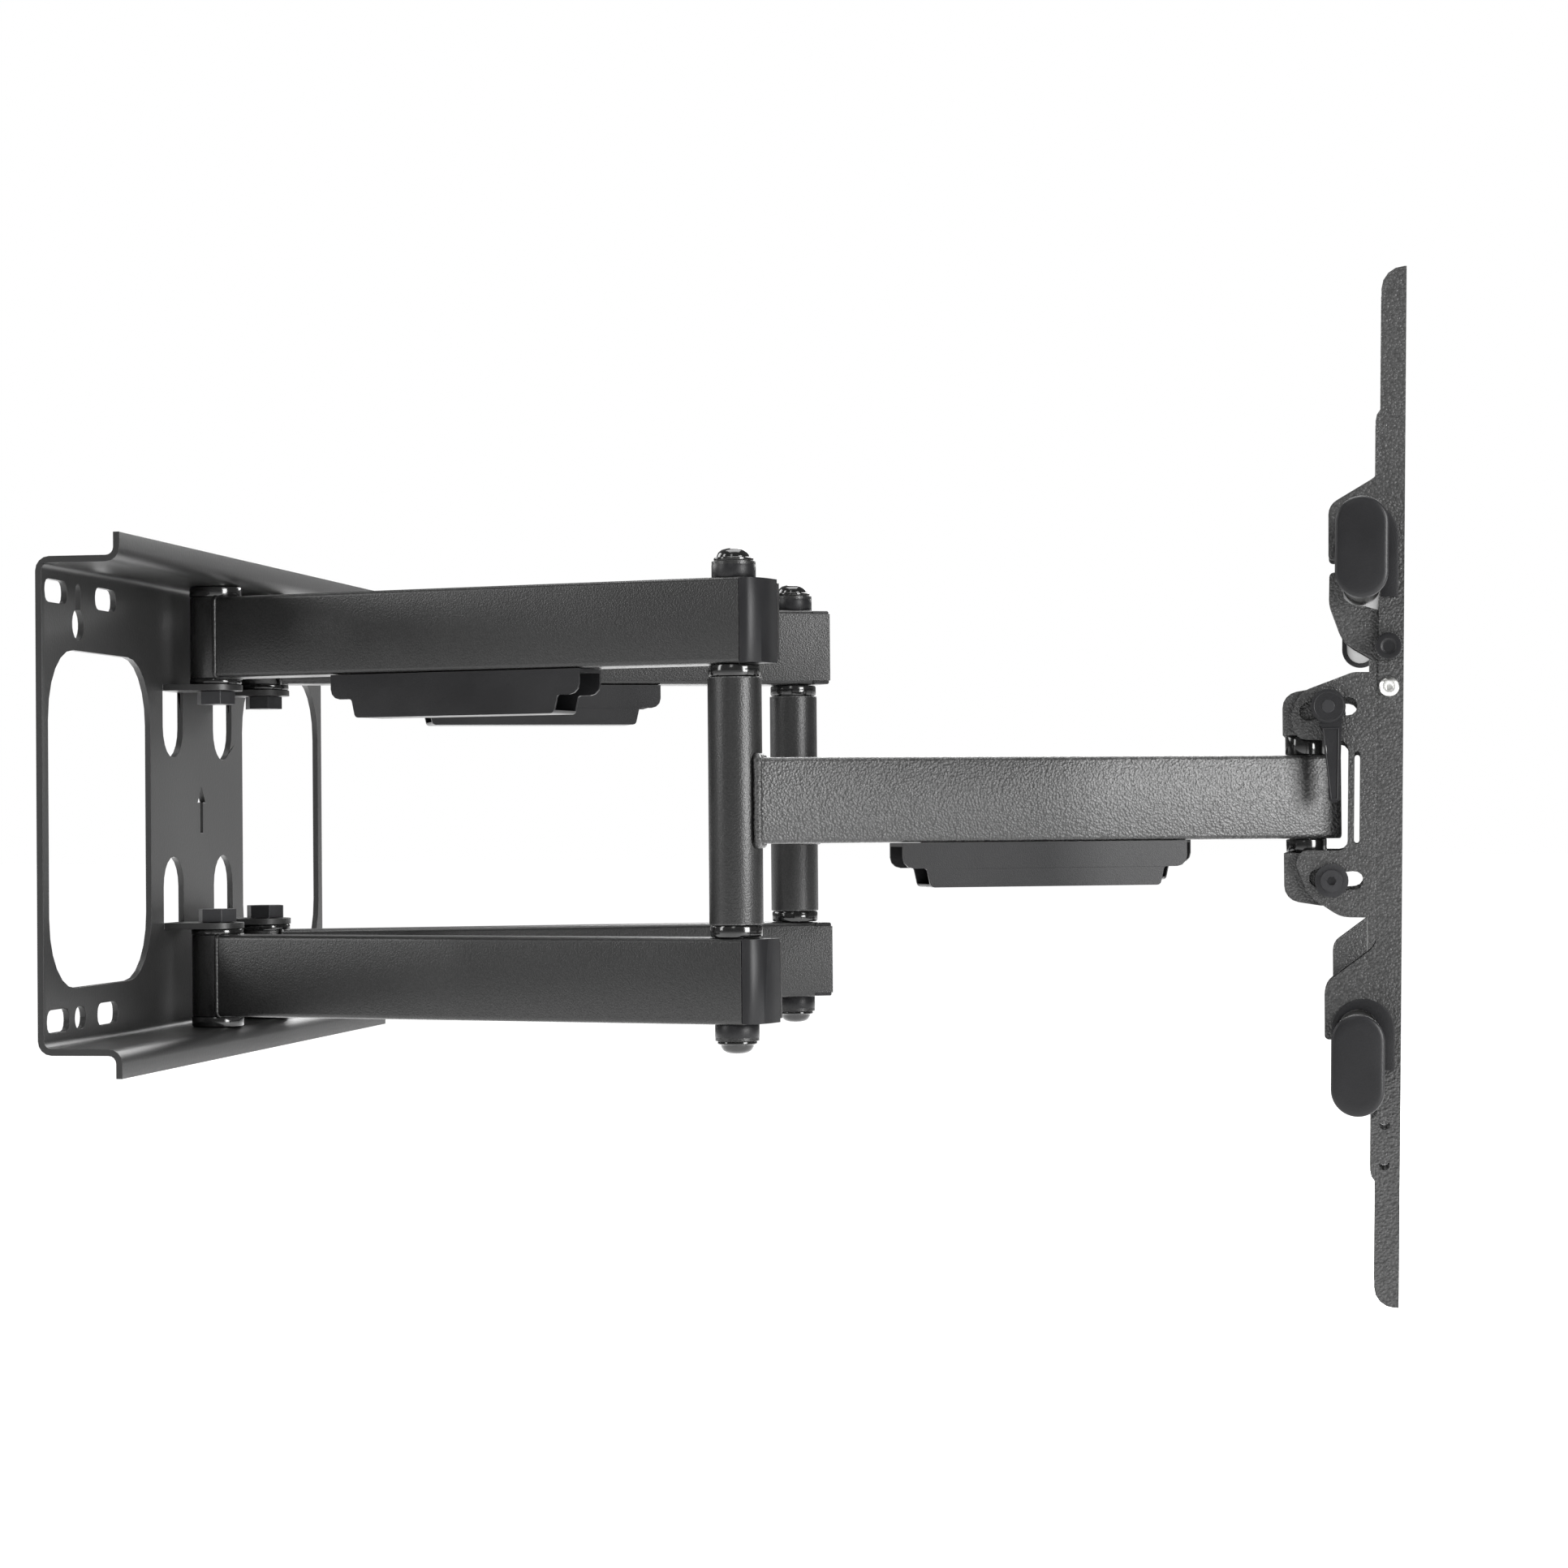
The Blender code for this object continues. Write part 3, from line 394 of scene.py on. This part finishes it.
FINISHES = {
    "satin_black_paint": smooth_coat("satin black powder coat", (0.0075,) * 3, (0.014,) * 3, 0.33, 0.30),
    "textured_black_paint": textured_coat(
        "textured black powder coat", 0.0011, (0.004,) * 3, (0.030,) * 3, 0.37, 0.00035, 0.50),
    "black_plastic": moulded("matte black plastic", (0.004, 0.004, 0.0045), 0.33, 0.0005, 0.00005, 0.18),
    "gloss_black_plastic": moulded("gloss black plastic", (0.003, 0.003, 0.003), 0.07, 0.003, 0.00001, 0.45),
    "black_steel": metal("black oxide steel", (0.030, 0.030, 0.032), 0.26, 0.00001, 0.6),
    "bright_steel": metal("zinc plated steel", (0.72, 0.72, 0.70), 0.22, 0.00001),
}
FINE_COAT = textured_coat("fine black powder coat", 0.0008, (0.004,) * 3, (0.013,) * 3, 0.34, 0.00010, 0.34)


# Skins over the frame's solids ------------------------------------------------------------------------

EDGE = {
    "wall_plate": 0.45, "tv_rail": 0.40, "tilt_bracket": 0.45, "yoke": 0.55, "rear_arm": 0.30, "forearm": 0.30,
    "cable_clip": 0.40, "rail_latch": 0.35, "arm_end_cap": 0.50, "pivot_bolt": 0.40, "head_pin": 0.40,
    "tilt_bolt": 0.40, "tilt_nut": 0.35, "clamp_lever": 0.60, "elbow_pin": 0.40,
}
REPLACED = ("crossbar", "elbow_dome", "elbow_ring", "head_ring", "pivot_spacer", "latch_screw", "latch_knob")


def edge_of(node):
    """The width of the rounding on a CAD node's edges."""
    return next((size for stem, size in EDGE.items() if node.startswith(stem)), 0.3) * MM


def finish_of(node):
    """A node's material: the fine coat on the rear arms, else the one its slot names."""
    if node.startswith("rear_arm"):
        return FINE_COAT
    return FINISHES[SLOT_OF[node]]


def skin(node):
    """The solid's own surface with its loose corners merged, curved faces smooth and edges rounded."""
    source = frame["nodes"][node].data
    points = np.empty(len(source.vertices) * 3)
    source.vertices.foreach_get("co", points)
    points = points.reshape(-1, 3)
    _, first, back = np.unique(np.round(points / 2e-6).astype(np.int64), axis=0, return_index=True,
                               return_inverse=True)
    back = back.reshape(-1)
    faces = [[int(back[v]) for v in polygon.vertices] for polygon in source.polygons]
    faces = [face for face in faces if len(set(face)) == len(face)]
    made = put_mesh(f"skin_{node}", points[first], faces, SHARP_DEGREES)
    rounding = made.modifiers.new("round edges", "BEVEL")
    rounding.width = edge_of(node)
    rounding.segments = 2
    rounding.limit_method = "ANGLE"
    rounding.angle_limit = math.radians(SHARP_DEGREES)
    rounding.harden_normals = True
    dress(made, finish_of(node), BODY_OF[node])
    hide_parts(node)


def dress(made, material, body):
    """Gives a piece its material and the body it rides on."""
    made.data.materials.clear()
    made.data.materials.append(material)
    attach(made, body)


def stand_for(made, *nodes):
    """Dresses a piece like the CAD nodes it replaces."""
    dress(made, finish_of(nodes[0]), BODY_OF[nodes[0]])
    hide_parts(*nodes)


# Turned and extruded pieces ---------------------------------------------------------------------------


def ring_like(node, outer, inner, edge):
    """A ring in a node's place: washer_grid between the node's lowest and highest Z."""
    low, high = reach(node, 2)
    grid = washer_grid(outer, inner, low, high, edge) + middle(node) * (1, 1, 0)
    stand_for(wrapped(f"ring_{node}", grid, closed_rows=True), node)


def elbow_pieces(side):
    """Caps, collars and rings, all turned round the elbow's vertical axis."""
    body = f"rear_{side}"
    here = ELBOW[side] * (1, 1, 0)
    for level, sign in LEVELS.items():
        node = f"elbow_dome_{level}_{side}"
        low, high = reach(node, 2)
        base, top = (low, high) if sign > 0 else (high, low)
        rise = top - base
        shape = [(0.0001, 1.0), (0.0030, 0.975), (0.0056, 0.86), (0.0071, 0.66), (0.0078, 0.42), (0.0079, 0.27),
                 (0.0088, 0.25), (0.0092, 0.20), (0.0093, 0.12), (0.0091, 0.0)]
        profile = [(r, base + rise * h) for r, h in shape]
        stand_for(wrapped(f"cap_{node}", turned_grid(profile, 64) + here), node)
        ring_like(f"elbow_ring_{level}_{side}", 0.0122, 0.0064, 0.0009)
        start = sign * 0.1034
        collar = [(0.0101, start), (0.01035, start + sign * 0.0003), (0.01035, base - sign * 0.0021),
                  (0.0098, base - sign * 0.0009), (0.0094, base - sign * 0.0003), (0.0070, base - sign * 0.0002)]
        made = wrapped(f"collar_{level}_{side}", turned_grid(collar, 64) + here)
        dress(made, FINISHES["black_plastic"], body)


def sleeve_piece(side):
    """The forearm's sleeve as a fine turned shell: radius 12.62 mm with a small round at both ends."""
    corners = [(0.0066, 0.0574, 0), (0.01262, 0.0574, 0.0007), (0.01262, -0.0574, 0.0007), (0.0066, -0.0574, 0)]
    grid = turned_grid(rounded_profile(corners, 5), 72) + ELBOW[side] * (1, 1, 0)
    dress(wrapped(f"sleeve_{side}", grid), FINE_COAT, f"fore_{side}")


def boss_pieces(side):
    """The round ends of the rear tubes at the wall, and the washers between them and the plate's tongues."""
    for level, sign in LEVELS.items():
        low, high = reach(f"rear_arm_{level}_{side}", 2)
        low, high = (low, low + 0.040) if sign > 0 else (high - 0.040, high)
        grid = washer_grid(0.01256, 0.0056, low, high, 0.0005)
        made = wrapped(f"boss_{level}_{side}", grid + PIVOT[side] * (1, 1, 0), closed_rows=True)
        dress(made, FINE_COAT, f"rear_{side}")
        near, away = (low - 0.0030, low) if sign > 0 else (high, high + 0.0030)
        grid = washer_grid(0.0128, 0.0056, near, away, 0.0007)
        made = wrapped(f"tongue_washer_{level}_{side}", grid + PIVOT[side] * (1, 1, 0), closed_rows=True)
        dress(made, FINISHES["gloss_black_plastic"], f"rear_{side}")


def weld_path(radius, half_height):
    """Where a square tube meets an upright cylinder: x = sqrt(r^2 - y^2) along the tube's outline (y, z)."""
    outline = resampled(box_outline(HALF_TUBE_W + 0.0001, half_height, TUBE_CORNER), 0.0005)
    x = np.sqrt(np.maximum(radius ** 2 - outline[:, 0] ** 2, (0.62 * radius) ** 2))
    path = np.stack([x, outline[:, 0], outline[:, 1]], -1)
    out = np.stack([np.full(len(x), 0.004), outline[:, 0], outline[:, 1] * 0.5], -1)
    return path, out


def weld_pieces(side):
    """Beads where the forearm meets its sleeve and where each rear tube meets its boss."""
    path, out = weld_path(0.0126, HALF_TUBE_H)
    grid = in_arm(bead_grid(path, out, 0.0019, 0.0026), ELBOW[side] * (1, 1, 0), heading(ELBOW[side], HEAD[side]))
    made = wrapped(f"weld_forearm_{side}", grid, closed_rows=True, sharp=80)
    dress(made, FINISHES["textured_black_paint"], f"fore_{side}")
    for level in LEVELS:
        low, high = reach(f"rear_arm_{level}_{side}", 2)
        centre = (low + 0.020) if level == "upper" else (high - 0.020)
        path, out = weld_path(0.0118, HALF_TUBE_H - 0.0002)
        grid = bead_grid(path, out, 0.0009, 0.0019) + (0, 0, centre)
        grid = in_arm(grid, PIVOT[side] * (1, 1, 0), heading(PIVOT[side], ELBOW[side]))
        made = wrapped(f"weld_rear_{level}_{side}", grid, closed_rows=True, sharp=80)
        dress(made, FINE_COAT, f"rear_{side}")


def crossbar_pieces():
    """Crossbars are oblong sections carried along Y. Their caps step out, with round rims and a shallow crown."""
    for level in LEVELS:
        node = f"crossbar_{level}"
        low, high = (value - TILT[1] for value in reach(node, 1))
        centre = middle(node) - TILT
        u = centre[0] * math.cos(TILT_AT_REST) - centre[2] * math.sin(TILT_AT_REST)
        v = centre[0] * math.sin(TILT_AT_REST) + centre[2] * math.cos(TILT_AT_REST)
        stations = [(low, 0.0), (high, 0.0)]
        grid = oblong_grid(u, v, 0.0154, 0.0360, stations)
        stand_for(wrapped(f"bar_{level}", in_tilt(grid)), node)
        for side, sign in SIDES.items():
            cap = f"crossbar_cap_{level}_{side}"
            low, high = (value - TILT[1] for value in reach(cap, 1))
            inner, outer = (low, high) if sign > 0 else (high, low)
            thick = outer - inner
            rims = [(0.0, 0.0007), (0.12, 0.0001), (0.25, 0.0), (0.55, 0.0), (0.75, 0.0003), (0.90, 0.0010),
                    (0.97, 0.0020), (1.0, 0.0045)]
            grid = oblong_grid(u, v, 0.0213, 0.0410, [(inner + thick * h, inset) for h, inset in rims])
            stand_for(wrapped(f"plug_{level}_{side}", in_tilt(grid)), cap)


def oblong_grid(u, v, width, height, stations):
    """Row i is the oblong outline pulled in by inset_i, at y_i."""
    rows = []
    for y, inset in stations:
        outline = oblong(width, height, inset, 24)
        rows.append(np.stack([outline[:, 0] + u, np.full(len(outline), y), outline[:, 1] + v], -1))
    return np.array(rows)


def along_y(grid, at, sign):
    """A grid turned round Z laid along Y, its top pointing away from the middle of the mount."""
    x, y, z = grid[..., 0], grid[..., 1], grid[..., 2]
    return np.stack([x + at[0], sign * z + at[1], y + at[2]], -1)


def rail_fasteners(side, sign):
    """The knurled knob, whose rim carries 30 flutes, and the bright socket screw with its washer."""
    knob = f"latch_knob_{side}"
    low, high = reach(knob, 1)
    at, inner, outer = middle(knob), *((low, high) if sign > 0 else (high, low))
    face = inner + sign * 0.0026
    height = abs(outer - face)
    corners = [(0.0001, height - 0.0006, 0), (0.0026, height - 0.0006, 0.0002), (0.0032, height, 0.0003),
               (0.0058, height, 0.0007), (0.0059, 0.0012, 0.0004), (0.0048, 0.0, 0.0002), (0.0018, 0.0, 0),
               (0.0018, -0.0024, 0)]
    flutes = lambda a, z: 1 - 0.045 * (0.5 - 0.5 * np.cos(30 * a)) * ((z > 0.0008) & (z < height * 0.98))
    grid = turned_grid(rounded_profile(corners), 180, flutes)
    stand_for(wrapped(f"knurled_{knob}", along_y(grid, (at[0], face, at[2]), sign), sharp=55), knob)

    screw = f"latch_screw_{side}"
    low, high = reach(screw, 1)
    at, outer = middle(screw), high if sign > 0 else low
    face = outer - sign * 0.0024
    corners = [(0.0001, 0.0004, 0), (0.0014, 0.0004, 0.0001), (0.0015, 0.0023, 0.0001), (0.0028, 0.0024, 0.0004),
               (0.0041, 0.0014, 0.0006), (0.0043, 0.0, 0.0002), (0.0019, 0.0, 0), (0.0019, -0.0250, 0)]
    grid = turned_grid(rounded_profile(corners), 60)
    stand_for(wrapped(f"socket_{screw}", along_y(grid, (at[0], face, at[2]), sign)), screw)


def lever_details():
    """On the clamp lever: a stepped hub face with a socket bolt, and a raised rim round the grip.

    The rim is the line between the grip's four corners, pulled in, carried as a rounded rectangle of 0.8 by 0.5 mm.
    """
    body, slot = BODY_OF["clamp_lever"], SLOT_OF["clamp_lever"]
    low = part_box("clamp_lever")[0]
    bolt = middle("tilt_bolt_upper")
    face = low[1]
    corners = [(0.0081, -0.0004, 0), (0.0081, 0.0006, 0.0004), (0.0066, 0.0009, 0.0004), (0.0061, 0.0002, 0.0002),
               (0.0052, 0.0002, 0), (0.0040, -0.0002, 0)]
    grid = turned_grid(rounded_profile(corners), 64)
    grid = along_y(grid, (bolt[0], face + 0.0007, bolt[2]), -1)
    dress(wrapped("lever_hub_face", grid, sharp=60), FINISHES["black_plastic"], body)
    corners = [(0.0046, -0.0006, 0), (0.0046, 0.0012, 0.0005), (0.0026, 0.0014, 0.0002), (0.0022, 0.0004, 0.0001),
               (0.0001, 0.0003, 0)]
    grid = along_y(turned_grid(rounded_profile(corners), 48), (bolt[0], face + 0.0015, bolt[2]), -1)
    dress(wrapped("lever_bolt_face", grid, sharp=50), FINISHES["black_steel"], "head")
    u, v = bolt[0], bolt[2]
    outline = np.array([(u - 0.0026, v - 0.0105), (u + 0.0009, v - 0.0445), (u + 0.0038, v - 0.0445),
                        (u + 0.0047, v - 0.0105)])
    path = resampled(outline, 0.0004)
    path = np.stack([path[:, 0], np.full(len(path), face + 0.0010), path[:, 1]], -1)
    inward = path.mean(0) - path
    grid = bead_grid(path, inward, 0.00042, 1.0, 8)
    dress(wrapped("lever_rim", grid, closed_rows=True, sharp=70), FINISHES["black_plastic"], body)


# Hook liners ------------------------------------------------------------------------------------------

HOOK_MIDDLE = 0.0085
HOOK_RADIUS = 0.0081
LINER_RIGHT = 0.0166
LINER_LEFT = 0.0004
LINER_TIP_WIDTH = 0.0030
LINER_EXTRA_WIDTH = 0.0042


def liner_path(top, left_end, right_end, count=40):
    """The hook's slot: up its right side, round the arch and down its left.

    The arch is (HOOK_MIDDLE + r cos a, centre + r sin a).
    """
    r = HOOK_RADIUS
    centre = top - r
    a = np.linspace(0, math.pi, count)
    arch = np.stack([HOOK_MIDDLE + r * np.cos(a), centre + r * np.sin(a)], -1)
    right = np.stack([np.full(8, LINER_RIGHT), np.linspace(right_end, centre - 0.001, 8)], -1)
    left = np.stack([np.full(6, LINER_LEFT), np.linspace(centre - 0.001, left_end, 6)], -1)
    return np.concatenate([right, arch, left])


def liner_piece(side, sign, level, top, left_end, right_end):
    """A moulded strip round each hook's slot: the slot's line pushed out by w(t), carried up to 0.9 mm off the rail.

    w falls smoothly from 7 mm beside the web to 3 mm at the hook's tip.
    """
    path = liner_path(top, left_end, right_end)
    tangent = np.gradient(path, axis=0)
    tangent /= np.linalg.norm(tangent, axis=1)[:, None]
    out = np.stack([tangent[:, 1], -tangent[:, 0]], -1)
    t = np.linspace(0, 1, len(path))
    width = LINER_TIP_WIDTH + LINER_EXTRA_WIDTH * (0.5 + 0.5 * np.cos(math.pi * np.clip((t - 0.12) / 0.62, 0, 1)))
    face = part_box(f"tv_rail_{side}")[1 if sign > 0 else 0][1] - TILT[1]
    rows = []
    for across, lift in ((0.03, 0.0), (0.03, 0.7), (0.18, 0.9), (0.85, 0.9), (1.0, 0.6), (1.0, 0.0)):
        edge = path + out * (width * across)[:, None]
        rows.append(np.stack([edge[:, 0], np.full(len(edge), face + sign * lift * MM), edge[:, 1]], -1))
    grid = in_tilt(np.array(rows).transpose(1, 0, 2))
    made = wrapped(f"liner_{level}_{side}", grid, sharp=50)
    dress(made, FINISHES["black_plastic"], f"rail_{side}")


# Stage, light and camera ------------------------------------------------------------------------------

FLOOR_Z = -0.34
FLOOR_HALF = 30
AIM = (0.32, 0.04, 0.0)
ROOM_LIGHT = 0.28
EYE = (0.5856, -1.7251, -0.0107)
YAW, PITCH, ROLL = 0.1612, 0.0112, -0.0083
LENS_MM, SENSOR_MM = 80.98, 36.0


def build_floor():
    """A wide pale sheet: z = FLOOR_Z everywhere."""
    line = np.linspace(-FLOOR_HALF, FLOOR_HALF, 3)
    x, y = np.meshgrid(line, line, indexing="ij")
    points = np.stack([x, y, np.full_like(x, FLOOR_Z)], -1)
    faces = [[i * 3 + j, (i + 1) * 3 + j, (i + 1) * 3 + j + 1, i * 3 + j + 1] for i in range(2) for j in range(2)]
    floor = put_mesh("floor", points, faces)
    f = Finish("pale floor")
    f.set(Base_Color=(0.9, 0.9, 0.9, 1), Roughness=0.9, Emission_Color=(1, 1, 1, 1), Emission_Strength=0.78)
    floor.data.materials.append(f.material)


def softbox(name, at, size, watts):
    """A rectangular area light aimed at the middle of the mount."""
    light = bpy.data.lights.new(name, "AREA")
    light.shape = "RECTANGLE"
    light.size, light.size_y = size
    light.energy = watts
    made = bpy.data.objects.new(name, light)
    bpy.context.scene.collection.objects.link(made)
    made.location = at
    aim = Vector(AIM) - Vector(at)
    made.rotation_euler = aim.to_track_quat("-Z", "Y").to_euler()


def build_light():
    """Six softboxes in a room that looks white to the camera and lights the mount more dimly."""
    world = bpy.data.worlds.new("white room")
    world.use_nodes = True
    tree = world.node_tree
    seen = add_node(tree, "ShaderNodeLightPath", {}, {}, "Is Camera Ray")
    tree.nodes["Background"].inputs["Color"].default_value = (1, 1, 1, 1)
    tree.links.new((seen * (1 - ROOM_LIGHT) + ROOM_LIGHT).socket, tree.nodes["Background"].inputs["Strength"])
    bpy.context.scene.world = world
    bpy.context.scene.view_settings.view_transform = "Standard"
    softbox("right", (1.85, -1.05, 0.30), (0.7, 1.0), 62)
    softbox("left", (-1.3, -1.0, 0.7), (0.4, 1.2), 20)
    softbox("front", (0.15, -1.9, 1.1), (0.4, 0.9), 6)
    softbox("top", (0.3, 0.1, 1.9), (1.6, 1.6), 55)
    softbox("back", (0.6, 1.9, 1.0), (1.5, 1.2), 45)
    softbox("wall side", (-1.5, 0.6, 0.8), (1.0, 1.0), 24)


def build_camera():
    """Yaw, pitch and roll about the eye: the view runs along F, with R to its right and U above."""
    forward = Vector((-math.sin(YAW) * math.cos(PITCH), math.cos(YAW) * math.cos(PITCH), math.sin(PITCH)))
    right = Vector((math.cos(YAW), math.sin(YAW), 0))
    up = right.cross(forward)
    across = math.cos(ROLL) * right + math.sin(ROLL) * up
    above = -math.sin(ROLL) * right + math.cos(ROLL) * up
    lens = bpy.data.cameras.new("camera")
    lens.sensor_width = SENSOR_MM
    lens.lens = LENS_MM
    lens.clip_end = 100
    camera = bpy.data.objects.new("camera", lens)
    turn = Matrix((across, above, -forward)).transposed().to_4x4()
    camera.matrix_world = Matrix.Translation(EYE) @ turn
    bpy.context.scene.collection.objects.link(camera)
    bpy.context.scene.camera = camera


# Build ------------------------------------------------------------------------------------------------

build_camera()
build_light()
build_floor()
for cad_node in sorted(frame["nodes"]):
    if not cad_node.startswith(REPLACED):
        skin(cad_node)
for side_name, side_sign in SIDES.items():
    elbow_pieces(side_name)
    sleeve_piece(side_name)
    boss_pieces(side_name)
    weld_pieces(side_name)
    for level_name in LEVELS:
        ring_like(f"head_ring_{level_name}_{side_name}", 0.0094, 0.0055, 0.0006)
        spacer = f"pivot_spacer_{level_name}_{side_name}"
        ring_like(spacer, reach(spacer, 0)[1] - PIVOT[side_name][0], 0.0055, 0.0006)
    liner_piece(side_name, side_sign, "upper", 0.1173, 0.0995, 0.0828)
    liner_piece(side_name, side_sign, "lower", -0.0907, -0.1030, -0.1160)
rail_fasteners("near", SIDES["near"])
lever_details()
crossbar_pieces()
